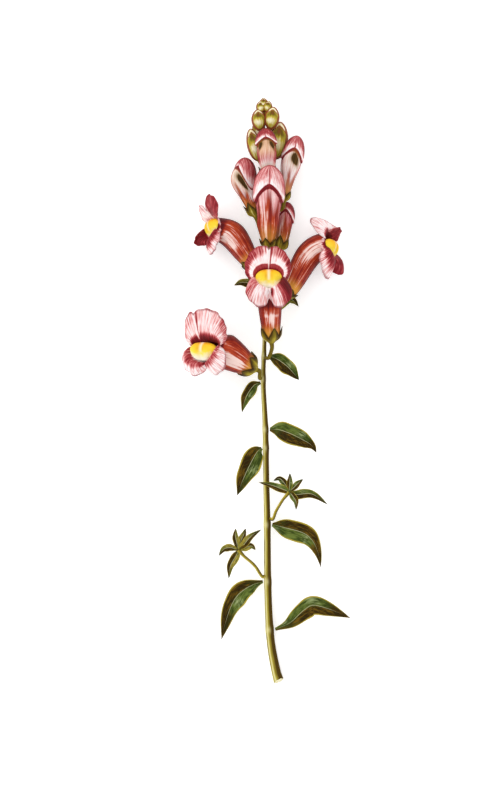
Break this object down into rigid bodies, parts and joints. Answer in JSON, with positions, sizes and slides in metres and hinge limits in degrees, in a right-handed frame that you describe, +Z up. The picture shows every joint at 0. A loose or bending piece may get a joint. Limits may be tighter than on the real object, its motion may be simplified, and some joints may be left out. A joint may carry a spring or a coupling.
{
  "type": "snapdragon stem",
  "caption": "Cut snapdragon stem lying on its back: two-lipped red and pink flowers with yellow palates, closed buds, a green tip, lance-shaped leaves and leafy side shoots.",
  "frame": {"origin": "on the surface the plant lies on, under the middle of its outline", "axes": "+Y along the stem from the cut end to the tip, +Z up, away from the surface, +X to the right seen from above with the tip up"},
  "size_m": [0.0884, 0.3062, 0.0388],
  "materials": {
    "stem_green": "satin olive green plant stem, browner on one side",
    "leaf_green": "satin green leaf with a pale midrib",
    "sepal_green": "satin yellow green sepals and unopened buds",
    "petal_pink": "soft petal, orange red and crimson streaks fading to white",
    "palate_yellow": "soft velvety yellow"
  },
  "bodies": {
    "root": {"bract_left": "leaf_green", "bract_right": "leaf_green", "bud_front_calyx": "sepal_green", "bud_front_petals": "petal_pink", "bud_left_calyx": "sepal_green", "bud_left_petals": "petal_pink", "bud_right_calyx": "sepal_green", "bud_right_petals": "petal_pink", "bud_small_right_calyx": "sepal_green", "bud_small_right_petals": "petal_pink", "bud_top_calyx": "sepal_green", "bud_top_petals": "petal_pink", "flower_front_calyx": "sepal_green", "flower_front_palate": "palate_yellow", "flower_front_petals": "petal_pink", "flower_lower_left_calyx": "sepal_green", "flower_lower_left_palate": "palate_yellow", "flower_lower_left_petals": "petal_pink", "flower_right_calyx": "sepal_green", "flower_right_palate": "palate_yellow", "flower_right_petals": "petal_pink", "flower_upper_left_calyx": "sepal_green", "flower_upper_left_palate": "palate_yellow", "flower_upper_left_petals": "petal_pink", "green_tip": "sepal_green", "leaf_highest_left": "leaf_green", "leaf_highest_right": "leaf_green", "leaf_lowest_left": "leaf_green", "leaf_lowest_right": "leaf_green", "leaf_middle_left": "leaf_green", "leaf_middle_right": "leaf_green", "leaf_upper_right": "leaf_green", "shoot_left": "leaf_green", "shoot_right": "leaf_green", "stem": "stem_green"}
  },
  "joints": []
}
